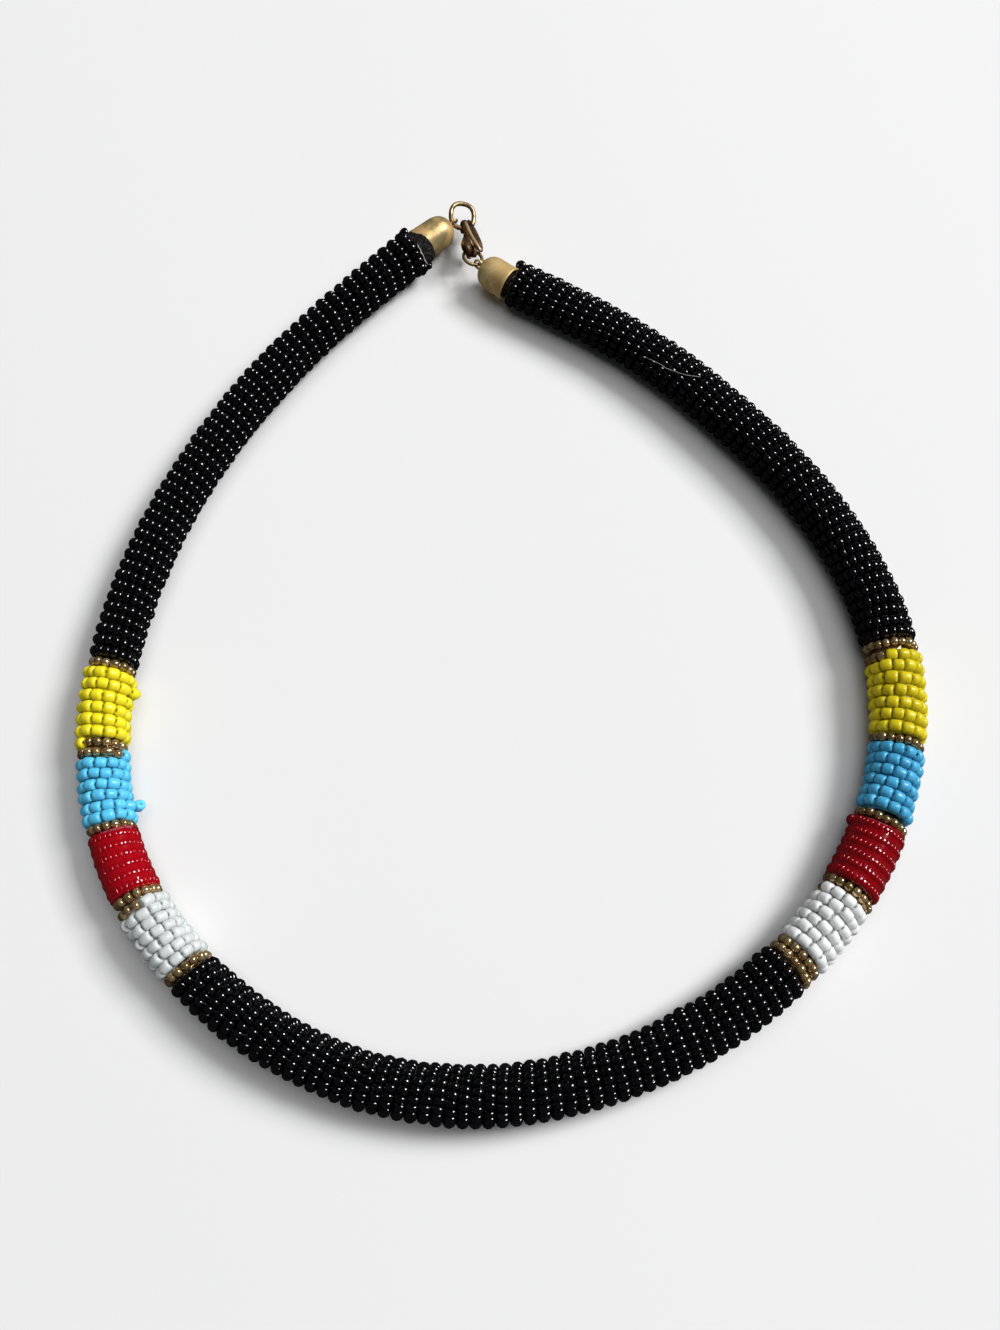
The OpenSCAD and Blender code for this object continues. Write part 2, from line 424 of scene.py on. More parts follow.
scratches = addNode(
    tarnishAndPaintedLightGroup, "ShaderNodeTexNoise", Scale=tarnishLook["scratchScale"], Detail=2.0
)
tarnishAndPaintedLightGroup.links.new(coords.outputs["Object"], scratches.inputs["Vector"])
pitted = addNode(tarnishAndPaintedLightGroup, "ShaderNodeBump", Distance=0.0001)
tarnishAndPaintedLightGroup.links.new(scratches.outputs["Fac"], pitted.inputs["Height"])
tarnishAndPaintedLightGroup.links.new(groupIn.outputs["Scratch Height"], pitted.inputs["Strength"])
tarnishAndPaintedLightGroup.links.new(pitted.outputs["Normal"], groupOut.inputs["Normal"])

glass = {
    "coatRoughness": 0.06, "refraction": 1.52,
    "glowDepth": 0.9,  # mm that light goes into a bead
    # painted bounce light: how much of the paler shade diffuse rays see
    "paintedBounceShare": 0.8,  # of the thrown shade in the light that a bead sends on
}
beadFinishes = {
    # light and dark are the shades of the lightest and the darkest bead, dull and shiny the
    # roughness, grain the height of the bumps, glow the share of light that goes into the bead,
    # and thrown is painted bounce light: the paler shade that diffuse rays see in place of the
    # bead's own colour, which it sends on to the floor and the other beads
    "black": {
        "light": (0.002, 0.002, 0.003, 1), "dark": (0.0006, 0.0006, 0.0008, 1),
        "dull": 0.09, "shiny": 0.03, "coat": 0.8, "metal": 0.0, "grain": 0.15, "glow": 0.0,
        "paintedBounce": (0.001, 0.001, 0.001, 1),
    },
    "yellow": {
        "light": (0.97, 0.81, 0.018, 1), "dark": (0.50, 0.41, 0.006, 1),
        "dull": 0.40, "shiny": 0.27, "coat": 0.12, "metal": 0.0, "grain": 0.15, "glow": 0.5,
        "paintedBounce": (0.50, 0.46, 0.22, 1),
    },
    "blue": {
        "light": (0.12, 0.62, 0.98, 1), "dark": (0.052, 0.33, 0.56, 1),
        "dull": 0.40, "shiny": 0.26, "coat": 0.12, "metal": 0.0, "grain": 0.15, "glow": 0.45,
        "paintedBounce": (0.24, 0.31, 0.37, 1),
    },
    "red": {
        "light": (0.41, 0.0, 0.005, 1), "dark": (0.15, 0.0, 0.002, 1),
        "dull": 0.16, "shiny": 0.04, "coat": 0.9, "metal": 0.0, "grain": 0.5, "glow": 0.35,
        "paintedBounce": (0.16, 0.04, 0.04, 1),
    },
    "white": {
        "light": (0.84, 0.86, 0.85, 1), "dark": (0.53, 0.58, 0.58, 1),
        "dull": 0.40, "shiny": 0.26, "coat": 0.15, "metal": 0.0, "grain": 0.15, "glow": 0.65,
        "paintedBounce": (0.60, 0.60, 0.58, 1),
    },
    "gold": {
        "light": (0.72, 0.51, 0.26, 1), "dark": (0.35, 0.23, 0.10, 1),
        "dull": 0.26, "shiny": 0.10, "coat": 0.4, "metal": 0.78, "grain": 0.3, "glow": 0.0,
        "paintedBounce": (0.3, 0.3, 0.3, 1),
    },
}


def beadMaterial(kind):
    look = beadFinishes[kind]
    material, tree, shader = newMaterial(kind + "Glass")
    group = useGroup(
        tree, beadGroup,
        **{
            "Light Shade": look["light"],
            "Dark Shade": look["dark"],
            "Grain Height": look["grain"],
            "Dull": look["dull"],
            "Shiny": look["shiny"],
        },
    )
    # painted bounce light: diffuse rays see the paler shade in place of the bead's own colour
    rays = addNode(tree, "ShaderNodeLightPath")
    paintedBounceMix = addNode(tree, "ShaderNodeMath", operation="MULTIPLY")
    paintedBounceMix.inputs[1].default_value = glass["paintedBounceShare"]
    tree.links.new(rays.outputs["Is Diffuse Ray"], paintedBounceMix.inputs[0])
    tree.links.new(
        mixColour(tree, paintedBounceMix.outputs[0], group.outputs["Color"], look["paintedBounce"]),
        shader.inputs["Base Color"],
    )
    tree.links.new(group.outputs["Roughness"], shader.inputs["Roughness"])
    tree.links.new(group.outputs["Normal"], shader.inputs["Normal"])
    shader.inputs["Metallic"].default_value = look["metal"]
    shader.inputs["Coat Weight"].default_value = look["coat"]
    shader.inputs["Coat Roughness"].default_value = glass["coatRoughness"]
    shader.inputs["IOR"].default_value = glass["refraction"]
    if look["glow"]:
        shader.inputs["Subsurface Weight"].default_value = look["glow"]
        shader.inputs["Subsurface Scale"].default_value = glass["glowDepth"] * mm
        shader.inputs["Subsurface Radius"].default_value = (1.0, 1.0, 1.0)
    return material


brassFinishes = {
    # brass and its stains, how much is stained, scale of the patches, height of the scratches,
    # and on the caps the lighter brass painted where the tone is 1, painted light
    "cap": {
        "name": "capBrass", "bright": (0.47, 0.355, 0.17, 1), "brown": (0.76, 0.51, 0.21, 1),
        "amount": 0.64, "patches": 310.0, "scratch": 0.25, "metal": 0.60,
        # painted light: the right cap, which faces away from the key, is painted this lighter brass
        "paintedLight": (1.0, 0.78, 0.37, 1),
    },
    "ring": {
        "name": "ringBrass", "bright": (0.54, 0.39, 0.19, 1), "brown": (0.20, 0.12, 0.06, 1),
        "amount": 0.6, "patches": 700.0, "scratch": 0.2, "metal": 0.88,
    },
    "clasp": {
        "name": "claspBrass", "bright": (0.30, 0.19, 0.10, 1), "brown": (0.07, 0.04, 0.022, 1),
        "amount": 0.65, "patches": 600.0, "scratch": 0.4, "metal": 0.92,
    },
    # painted highlight: the rib's lighter, less metallic brass stands in for the highlight along
    # the clasp's spine
    "rib": {
        "name": "rubbedBrass", "bright": (0.74, 0.51, 0.31, 1), "brown": (0.44, 0.28, 0.15, 1),
        "amount": 0.40, "patches": 500.0, "scratch": 0.3, "metal": 0.60,
    },
}


def brassMaterial(kind):
    look = brassFinishes[kind]
    material, tree, shader = newMaterial(look["name"])
    group = useGroup(
        tree, tarnishAndPaintedLightGroup,
        **{
            "Bright": look["bright"],
            "Brown": look["brown"],
            "Amount": look["amount"],
            "Patch Size": look["patches"],
            "Scratch Height": look["scratch"],
            # painted light: the lighter brass for a piece whose tone is 1
            "Polished": look.get("paintedLight", look["bright"]),
        },
    )
    tree.links.new(group.outputs["Color"], shader.inputs["Base Color"])
    tree.links.new(group.outputs["Roughness"], shader.inputs["Roughness"])
    tree.links.new(group.outputs["Normal"], shader.inputs["Normal"])
    shader.inputs["Metallic"].default_value = look["metal"]
    return material


materials = {kind: beadMaterial(kind) for kind in beadFinishes}
for kind in brassFinishes:
    materials[kind] = brassMaterial(kind)

cordFinish = {
    "dark": (0.002, 0.002, 0.002, 1), "light": (0.042, 0.040, 0.036, 1),
    "fibreScale": 2400.0, "speckles": (0.50, 0.62),  # the noise where they begin and are whole
    "bump": 0.6, "roughness": 0.8, "gloss": 0.12,
}
materials["cord"], tree, shader = newMaterial("blackCord")
coords = addNode(tree, "ShaderNodeTexCoord")
fibre = addNode(
    tree, "ShaderNodeTexNoise", Scale=cordFinish["fibreScale"], Detail=3.0, Roughness=0.7
)
tree.links.new(coords.outputs["Object"], fibre.inputs["Vector"])
speckle = addNode(tree, "ShaderNodeMapRange")
speckle.inputs["From Min"].default_value = cordFinish["speckles"][0]
speckle.inputs["From Max"].default_value = cordFinish["speckles"][1]
tree.links.new(fibre.outputs["Fac"], speckle.inputs["Value"])
tree.links.new(
    mixColour(tree, speckle.outputs["Result"], cordFinish["dark"], cordFinish["light"]),
    shader.inputs["Base Color"],
)
fibreBump = addNode(tree, "ShaderNodeBump", Strength=cordFinish["bump"], Distance=0.0002)
tree.links.new(fibre.outputs["Fac"], fibreBump.inputs["Height"])
tree.links.new(fibreBump.outputs["Normal"], shader.inputs["Normal"])
shader.inputs["Roughness"].default_value = cordFinish["roughness"]
shader.inputs["Specular IOR Level"].default_value = cordFinish["gloss"]

threadFinish = {
    "dark": (0.20, 0.19, 0.18, 1), "light": (0.62, 0.60, 0.56, 1),
    "strandScale": 3000.0, "roughness": 0.7,
}
materials["thread"], tree, shader = newMaterial("greyThread")
coords = addNode(tree, "ShaderNodeTexCoord")
strand = addNode(tree, "ShaderNodeTexNoise", Scale=threadFinish["strandScale"], Detail=4.0)
tree.links.new(coords.outputs["Object"], strand.inputs["Vector"])
tree.links.new(
    mixColour(tree, strand.outputs["Fac"], threadFinish["dark"], threadFinish["light"]),
    shader.inputs["Base Color"],
)
shader.inputs["Roughness"].default_value = threadFinish["roughness"]

# the floor is painted dark where it is seen in reflections, a painted reflection in place of a
# studio's black flags; to the camera and in bounced light it stays pale
floorLook = {
    "size": 6,  # m
    "colour": (0.80, 0.80, 0.80, 1), "paintedReflection": (0.02, 0.02, 0.02, 1),
    "roughness": 0.9, "gloss": 0.1,
}
floorMaterial, tree, shader = newMaterial("paleFloor")
rays = addNode(tree, "ShaderNodeLightPath")
# painted reflection: glossy rays see the dark colour
tree.links.new(
    mixColour(tree, rays.outputs["Is Glossy Ray"], floorLook["colour"], floorLook["paintedReflection"]),
    shader.inputs["Base Color"],
)
shader.inputs["Roughness"].default_value = floorLook["roughness"]
shader.inputs["Specular IOR Level"].default_value = floorLook["gloss"]

clearSelection()
bpy.ops.mesh.primitive_plane_add(size=floorLook["size"], location=(0, 0, 0))
floor = bpy.context.object
floor.name = "paleFloor"
floor.data.materials.append(floorMaterial)
print("camera, light, floor and materials done")


# beads: one model of each kind, strung along one thread that winds round the core

beadShapes = {
    # mm: length along the thread, diameter, rounding of the rims, bore, spare length per bead;
    # even is how much of the looseness the kind has, 1 where it isn't given
    "black": {
        "length": 1.28, "diameter": 2.12, "rounding": 0.44, "bore": 0.8, "spare": 0.02,
        "even": 0.65,
    },
    "yellow": {"length": 2.02, "diameter": 2.14, "rounding": 0.48, "bore": 0.7, "spare": 0.02},
    "blue": {"length": 2.0, "diameter": 2.02, "rounding": 0.46, "bore": 0.7, "spare": 0.02},
    "red": {
        "length": 0.86, "diameter": 2.06, "rounding": 0.14, "bore": 0.7, "spare": -0.08,
        "even": 0.3,
    },
    "white": {"length": 2.17, "diameter": 2.0, "rounding": 0.46, "bore": 0.7, "spare": 0.02},
    "gold": {"length": 1.34, "diameter": 1.62, "rounding": 0.48, "bore": 0.5, "spare": 0.18},
}
beadMesh = {"sides": 10, "rimSteps": 2, "rimProfile": 0.55}

# rowsAt pairs a row's number in its section with its place on the rope's top, in mm from the left
# end; shift moves the section's first bead along its first turn, in turns, and lift is the beads'
# height over the core in mm; tone is the range of its beads' shades, from 0, dark, to 1, light
beadSections = [
    {
        "name": "black_back_left", "bead": "black",
        "rowsAt": ((0, 1.7), (1, 4.0), (14, 35.1), (48, 106.9)), "lift": 2.1,
    },
    {"name": "gold_left_1", "bead": "gold", "rowsAt": ((0, 109.0),), "lift": 1.85},
    {"name": "yellow_left", "bead": "yellow", "rowsAt": ((0, 110.9), (5, 121.7)), "lift": 2.35},
    {
        "name": "gold_left_2", "bead": "gold",
        "rowsAt": ((0, 123.7), (1, 125.4)), "lift": 1.85, "shift": 0.33,
    },
    {
        "name": "blue_left", "bead": "blue",
        "rowsAt": ((0, 127.4), (5, 137.2)), "lift": 2.25, "shift": -0.33,
    },
    {"name": "gold_left_3", "bead": "gold", "rowsAt": ((0, 138.8),), "lift": 1.85},
    {"name": "red_left", "bead": "red", "rowsAt": ((0, 140.7), (5, 150.2)), "lift": 2.05},
    {"name": "gold_left_4", "bead": "gold", "rowsAt": ((0, 152.0),), "lift": 1.85},
    {
        "name": "white_left", "bead": "white", "tone": (0.2, 0.42),
        "rowsAt": ((0, 153.9), (6, 165.3)), "lift": 2.25, "shift": 0.46,
    },
    {"name": "gold_left_5", "bead": "gold", "rowsAt": ((0, 167.2),), "lift": 1.85},
    {
        "name": "black_front", "bead": "black",
        "rowsAt": ((0, 169.2), (27, 223.7), (52, 277.3)), "lift": 2.1,
    },
    {"name": "gold_right_1", "bead": "gold", "rowsAt": ((0, 279.4), (1, 281.1)), "lift": 1.85},
    {
        "name": "white_right", "bead": "white", "tone": (0.7, 0.9),
        "rowsAt": ((0, 283.0), (5, 293.3)), "lift": 2.15,
    },
    {"name": "gold_right_2", "bead": "gold", "rowsAt": ((0, 295.3),), "lift": 1.85, "shift": -0.33},
    {
        "name": "red_right", "bead": "red", "tone": (0.2, 0.45),
        "rowsAt": ((0, 297.3), (5, 307.2)), "lift": 2.15,
    },
    {"name": "gold_right_3", "bead": "gold", "rowsAt": ((0, 309.2),), "lift": 1.85},
    {
        "name": "blue_right", "bead": "blue", "tone": (0.1, 0.35),
        "rowsAt": ((0, 311.7), (5, 322.1)), "lift": 2.15,
    },
    {"name": "gold_right_4", "bead": "gold", "rowsAt": ((0, 324.0),), "lift": 1.85},
    {
        "name": "yellow_right", "bead": "yellow", "tone": (0.22, 0.46),
        "rowsAt": ((0, 326.1), (5, 337.6)), "lift": 2.2,
    },
    {
        "name": "gold_right_5", "bead": "gold",
        "rowsAt": ((0, 339.6), (1, 342.0)), "lift": 1.85, "shift": 0.52,
    },
    {"name": "black_back_right", "bead": "black", "rowsAt": ((0, 344.1), (48, 447.9)), "lift": 2.1},
]

# places where the rope bulges or dips: mm from the left end, degrees around, mm outwards, mm across
unevenPlaces = [
    (3.2, 170, 0.35, 1.8),
    (57.8, 180, 0.25, 1.6),
    (89.0, 180, 0.25, 1.6),
    (113.6, 185, 1.1, 1.2),
    (135.8, 185, 1.8, 1.1),
    (213.5, 0, -0.45, 1.0),
    (236.7, 180, 0.28, 1.5),
    (242.7, 180, 0.25, 1.5),
    (259.0, 180, 0.28, 1.5),
    (275.5, 180, 0.30, 1.5),
    (295.1, 0, 0.40, 1.2),
    (307.9, 180, 0.70, 1.2),
    (387.0, 10, 0.25, 2.0),
    (441.0, 10, 0.30, 2.0),
]
# the black parts are a little rough all along: more swellings and hollows, seeded
roughness = {
    "seed": 23, "each": 26,
    "between": ((12, 104), (172, 274), (347, 445)),  # mm from the left end
    "around": (-30, 210), "out": (-0.16, 0.24), "reach": (1.1, 2.6),
}
roughDice = random.Random(roughness["seed"])
for stretch in roughness["between"]:
    for i in range(roughness["each"]):
        ranges = (stretch, roughness["around"], roughness["out"], roughness["reach"])
        unevenPlaces.append(tuple(roughDice.uniform(*limits) for limits in ranges))
# beads longer than their kind: mm from the left end, degrees around, reach of both, times the
# length
longBeads = [(125.4, 95, 0.5, 10, 1.75)]
looseness = {
    # spread in mm out and along, degrees of tilt, and share of the size
    "seed": 11, "out": 0.045, "along": 0.07, "tilt": 5.0, "size": 0.045,
    "spare": (0.2, 2.0), "length": (0.96, 1.03),  # times the kind's
    "anyTurn": 6.28,  # radians, for the loose beads
}


def makeBead(kind):
    shape = beadShapes[kind]
    clearSelection()
    bpy.ops.mesh.primitive_cylinder_add(
        vertices=beadMesh["sides"],
        radius=shape["diameter"] / 2 * mm,
        depth=shape["length"] * mm,
        end_fill_type="NGON",
    )
    bead = bpy.context.object
    bead.name = kind + "Bead"
    bpy.ops.object.mode_set(mode="EDIT")
    bpy.ops.mesh.select_mode(type="FACE")
    selectFaces(bead, isEnd)
    bpy.ops.mesh.bevel(
        offset=shape["rounding"] * mm,
        segments=beadMesh["rimSteps"],
        profile=beadMesh["rimProfile"],
        affect="EDGES",
    )
    selectFaces(bead, isEnd)
    flat = shape["diameter"] / 2 - shape["rounding"] - shape["bore"] / 2
    bpy.ops.mesh.inset(thickness=flat * mm, depth=0)
    bpy.ops.mesh.delete(type="FACE")
    bpy.ops.mesh.select_mode(type="EDGE")
    mesh = bmesh.from_edit_mesh(bead.data)
    for rim in mesh.edges:
        rim.select = rim.is_boundary  # the two ends of the bore
    bmesh.update_edit_mesh(bead.data)
    bpy.ops.mesh.bridge_edge_loops()
    bpy.ops.mesh.select_all(action="SELECT")
    bpy.ops.mesh.normals_make_consistent(inside=False)
    bpy.ops.object.mode_set(mode="OBJECT")
    bpy.ops.object.shade_smooth()
    return bead


beadModels = {kind: makeBead(kind) for kind in beadShapes}

thread = {
    # in turns: the first bead's place, the end past the last row, and reach of the heading's test
    "start": 0.45, "pastLast": 0.8, "probe": 0.02,
    "floorGap": 0.25,  # mm under the beads
}
# rows of the whole thread, numbered through, and the turn at which each section starts, half a
# turn before its first row crosses the rope's top
rowPlaces = []
sectionStarts = []
turns = 0
for section in beadSections:
    sectionStarts.append(turns - 0.5 + section.get("shift", 0.0))
    for number, place in section["rowsAt"]:
        rowPlaces.append((turns + number, place))
    turns += section["rowsAt"][-1][0] + 1
threadEnd = turns - 1 + thread["pastLast"]
# single beads by the left collar: mm from the end, degrees around, mm out, size
looseBeads = [
    (1.9, -38, 3.8, 1.0), (2.0, -10, 3.95, 1.0), (2.1, 18, 4.0, 0.96), (2.5, 43, 3.95, 1.0),
    (3.9, 182, 4.15, 1.0), (4.0, 206, 3.95, 0.98), (2.95, 178, 4.85, 0.62), (2.5, 190, 4.35, 0.7),
]


def placeOfTurn(turn):
    # mm from the left end, straight on past the first and the last row
    for (t0, s0), (t1, s1) in zip(rowPlaces, rowPlaces[1:]):
        if turn <= t1 or (t1, s1) == rowPlaces[-1]:
            return s0 + (s1 - s0) * (turn - t0) / (t1 - t0)


def bulge(s, around):
    total = 0.0
    for at, side, out, reach in unevenPlaces:
        apart = (around - side + 180) % 360 - 180
        across = math.radians(apart) * rope["radius"]
        total += out * math.exp(-((s - at) ** 2 + across**2) / reach**2)
    return total


def threadPoint(turn, section, extra=0.0):
    # the thread's place with no bulges, extra mm further out
    s = placeOfTurn(turn)
    around = 90 + 360 * (turn - round(turn))
    radius = beadShapes[section["bead"]]["diameter"] / 2
    out = coreRadius(s) + section["lift"] - radius + extra
    return ropePoint(s, around, out), s, around % 360, out


def bulgedPoint(turn, section, extra=0.0):
    s, around = threadPoint(turn, section)[1:3]
    return threadPoint(turn, section, bulge(s, around) + extra)[0]


usualTone = {
    "black": (0, 1), "gold": (0, 1), "white": (0.7, 1),
    "red": (0.7, 1), "blue": (0.75, 1), "yellow": (0.75, 1),
}


def toneRange(section):
    return section.get("tone", usualTone[section["bead"]])


def stringBeads():
    dice = random.Random(looseness["seed"])
    strung = {section["name"]: [] for section in beadSections}
    turn = thread["start"]
    index = 0
    while turn < threadEnd:
        while index + 1 < len(beadSections) and turn >= sectionStarts[index + 1]:
            index += 1
        section = beadSections[index]
        shape = beadShapes[section["bead"]]
        even = shape.get("even", 1.0)
        growth = 1 + dice.gauss(0, looseness["size"] * even)
        spare = shape["spare"] * dice.uniform(*looseness["spare"])
        length = shape["length"] * growth + spare
        s, around, out = threadPoint(turn, section)[1:]
        longer = 1.0
        for at, side, reachAlong, reachAround, times in longBeads:
            if abs(s - at) < reachAlong and abs(around - side) < reachAround:
                longer = times
        length *= longer
        middle = turn + length / 2 / (2 * math.pi * out)
        point = bulgedPoint(middle, section, dice.gauss(0, looseness["out"] * even))
        ahead = bulgedPoint(middle + thread["probe"], section)
        behind = bulgedPoint(middle - thread["probe"], section)
        along = (ahead - behind).normalized()
        turnLength = (ahead - behind).length / (2 * thread["probe"])
        away = (point - centrePoint(placeOfTurn(middle))).normalized()
        across = along.cross(away).normalized()
        away = across.cross(along).normalized()
        basis = Matrix((away, across, along)).transposed().to_3x3()
        wobble = Euler(
            (
                math.radians(dice.gauss(0, looseness["tilt"] * even)),
                math.radians(dice.gauss(0, looseness["tilt"] * even)),
                math.radians(dice.uniform(0, 360)),
            )
        ).to_matrix()
        point = point + across * dice.gauss(0, looseness["along"] * even)
        thick = shape["diameter"] / 2 * growth
        point.z = max(point.z, thick + thread["floorGap"])
        strung[section["name"]].append(
            {
                "place": point * mm,
                "turn": (basis @ wobble).to_euler(),
                "size": (
                    growth, growth, growth * longer * dice.uniform(*looseness["length"])
                ),
                "tone": dice.uniform(*toneRange(section)),
            }
        )
        turn += length / turnLength
    for s, around, out, growth in looseBeads:
        strung["black_back_left"].append(
            {
                "place": ropePoint(s, around, out) * mm,
                "turn": Euler([dice.uniform(0, looseness["anyTurn"]) for i in range(3)]),
                "size": (growth, growth, growth),
                "tone": dice.random(),
            }
        )
    return strung


# the copying itself: a bead at every point of a mesh, turned and sized as the point says
beadNodes = bpy.data.node_groups.new("stringBeads", "GeometryNodeTree")
beadNodes.interface.new_socket("Geometry", in_out="INPUT", socket_type="NodeSocketGeometry")
beadSocket = beadNodes.interface.new_socket("Bead", in_out="INPUT", socket_type="NodeSocketObject")
beadNodes.interface.new_socket("Geometry", in_out="OUTPUT", socket_type="NodeSocketGeometry")
pointsIn = addNode(beadNodes, "NodeGroupInput")
meshOut = addNode(beadNodes, "NodeGroupOutput")
beadInfo = addNode(beadNodes, "GeometryNodeObjectInfo")
placing = addNode(beadNodes, "GeometryNodeInstanceOnPoints")
turnValue = addNode(beadNodes, "GeometryNodeInputNamedAttribute", data_type="FLOAT_VECTOR")
turnValue.inputs["Name"].default_value = "turn"
sizeValue = addNode(beadNodes, "GeometryNodeInputNamedAttribute", data_type="FLOAT_VECTOR")
sizeValue.inputs["Name"].default_value = "size"
toRotation = addNode(beadNodes, "FunctionNodeEulerToRotation")
realize = addNode(beadNodes, "GeometryNodeRealizeInstances")
beadNodes.links.new(pointsIn.outputs["Geometry"], placing.inputs["Points"])
beadNodes.links.new(pointsIn.outputs["Bead"], beadInfo.inputs["Object"])
beadNodes.links.new(beadInfo.outputs["Geometry"], placing.inputs["Instance"])
beadNodes.links.new(turnValue.outputs["Attribute"], toRotation.inputs["Euler"])
beadNodes.links.new(toRotation.outputs["Rotation"], placing.inputs["Rotation"])
beadNodes.links.new(sizeValue.outputs["Attribute"], placing.inputs["Scale"])
beadNodes.links.new(placing.outputs["Instances"], realize.inputs["Geometry"])
beadNodes.links.new(realize.outputs["Geometry"], meshOut.inputs["Geometry"])


# a sleeve under the beads, in their own material, so that their colour shows between them: it
# stands in for the light that the glass lets into the gaps, painted light, and under the gold beads
# for the shade there, painted shade
wrapLook = {
    # mm over the core; the clear red glass lies in one smooth band with shallow grooves
    "height": {"yellow": 0.75, "blue": 0.7, "white": 0.7, "red": 1.89, "gold": 0.15},
    "pastRows": 0.8,  # mm
    "steps": 8, "roundness": 24,
}


def makeSection(section, beads):
    mesh = bpy.data.meshes.new("beads_" + section["name"])
    mesh.from_pydata([b["place"] for b in beads], [], [])
    for label, kind in (("turn", "FLOAT_VECTOR"), ("size", "FLOAT_VECTOR"), ("tone", "FLOAT")):
        layer = mesh.attributes.new(label, kind, "POINT")
        for item, b in zip(layer.data, beads):
            if kind == "FLOAT":
                item.value = b[label]
            else:
                item.vector = b[label]
    piece = bpy.data.objects.new("beads_" + section["name"], mesh)
    bpy.context.scene.collection.objects.link(piece)
    modifier = piece.modifiers.new("string", "NODES")
    modifier.node_group = beadNodes
    modifier[beadSocket.identifier] = beadModels[section["bead"]]
    applyModifiers(piece)
    for label in ("turn", "size"):
        if label in piece.data.attributes:
            piece.data.attributes.remove(piece.data.attributes[label])
    if section["bead"] in wrapLook["height"]:
        first = section["rowsAt"][0][1] - wrapLook["pastRows"]
        last = section["rowsAt"][-1][1] + wrapLook["pastRows"]
        steps = wrapLook["steps"]
        places = [first + (last - first) * i / steps for i in range(steps + 1)]
        radii = [coreRadius(s) + wrapLook["height"][section["bead"]] for s in places]
        middles = [centrePoint(s) for s in places]
        wrap = makeTube("wrap", middles, radii, wrapLook["roundness"])
        # the gold beads' sleeve takes the darkest tone, painted shade in the gaps between them
        setTone(wrap, 0 if section["bead"] == "gold" else sum(toneRange(section)) / 2)
        piece = joinPieces(piece.name, [piece, wrap])
    finishPiece(
        piece, materials[section["bead"]], "choker", [section["name"]]
    )


strung = stringBeads()
for section in beadSections:
    makeSection(section, strung[section["name"]])
for bead in beadModels.values():
    bpy.data.objects.remove(bead)
print("beads strung:", sum(len(b) for b in strung.values()))


# core: a cord under the beads, which shows as a dull collar beside the left cap

coreLook = {
    # mm: the two necks' depths in the caps, the first row and the step of the rows between
    "neckDiameter": 4.8, "leftNeck": (3.2, 1.5, 0.0), "rightNeck": (-0.2, 1.5, 3.2),
    "firstRow": 1.5, "rowStep": 3, "rows": 150, "thinner": 0.05, "roundness": 4,
    # the flared collar: mm from the end to its wide edge, its radii, and its shift to the
    # neck's side
    "collarEnd": 3.35, "collarRadii": (4.2, 3.25), "collarShift": 0.25,
    "collarSides": 48, "collarRim": 0.25, "collarRimSteps": 3,
}
capPlaces = {
    # mm: mouth, length to the dome's end; degrees: direction of the axis, roll of the eye;
    # tone is painted light: at 1 the cap's brass is painted lighter, as if it caught more light
    "left": {
        "mouth": (-17.3, 79.3, 4.9), "length": 8.6, "heading": 39, "roll": 15, "tone": 0.0,
    },
    "right": {
        "mouth": (1.55, 70.35, 4.9), "length": 7.25, "heading": 143.5, "roll": 18, "tone": 1.0,
    },
}


def capAxis(place):
    heading = math.radians(place["heading"])
    return Vector((math.cos(heading), math.sin(heading), 0))


corePoints = []
coreRadii = []
leftMouth, leftAxis = Vector(capPlaces["left"]["mouth"]), capAxis(capPlaces["left"])
rightMouth, rightAxis = Vector(capPlaces["right"]["mouth"]), capAxis(capPlaces["right"])
for depth in coreLook["leftNeck"]:
    corePoints.append(leftMouth + leftAxis * depth)
    coreRadii.append(coreLook["neckDiameter"] / 2)
for i in range(coreLook["rows"]):
    s = coreLook["firstRow"] + i * coreLook["rowStep"]
    corePoints.append(centrePoint(s))
    coreRadii.append(coreRadius(s) - coreLook["thinner"])
for depth in coreLook["rightNeck"]:
    corePoints.append(rightMouth + rightAxis * depth)
    coreRadii.append(coreLook["neckDiameter"] / 2)
coreTube = makeTube("core_cord", corePoints, coreRadii, coreLook["roundness"])

clearSelection()
bpy.ops.mesh.primitive_cone_add(
    vertices=coreLook["collarSides"],
    radius1=coreLook["collarRadii"][0] * mm,
    radius2=coreLook["collarRadii"][1] * mm,
    depth=coreLook["collarEnd"] * mm,
    location=ropePoint(coreLook["collarEnd"] / 2, 180, coreLook["collarShift"]) * mm,
    rotation=(0, math.radians(-90), headingAt(coreLook["firstRow"])),
)
collar = bpy.context.object
bpy.ops.object.mode_set(mode="EDIT")
bpy.ops.mesh.select_mode(type="FACE")
selectFaces(collar, isEnd)
bpy.ops.mesh.bevel(
    offset=coreLook["collarRim"] * mm, segments=coreLook["collarRimSteps"], affect="EDGES"
)
bpy.ops.object.mode_set(mode="OBJECT")
bpy.ops.object.shade_smooth()
settle(collar)
core = joinPieces("core_cord", [coreTube, collar])
finishPiece(core, materials["cord"], "choker", ["core"])

# ends of thread: the scuffed one at the collar's edge, and a fibre caught on the right arm
threadLooks = [
    # mm from the left end, degrees around, mm out, radius
    {"name": "thread_collar", "path": (
        (2.9, 112, 4.1, 0.07), (3.2, 119, 4.35, 0.14), (3.15, 127, 4.4, 0.08),
        (3.45, 134, 4.5, 0.17), (3.35, 143, 4.6, 0.09), (3.55, 153, 4.7, 0.16),
        (3.4, 164, 4.75, 0.1), (3.2, 172, 4.9, 0.07),
    )},
    {"name": "thread_fibre", "path": (
        (417.2, 129, 5.0, 0.03), (415.4, 126, 5.1, 0.045), (413.7, 123, 5.15, 0.045),
        (412.3, 123, 5.1, 0.045), (411.0, 119, 5.1, 0.045), (409.7, 115, 5.15, 0.045),
        (408.4, 110, 5.1, 0.045), (407.0, 101, 5.1, 0.045), (406.0, 93, 5.0, 0.03),
    )},
]
threadRoundness = 2
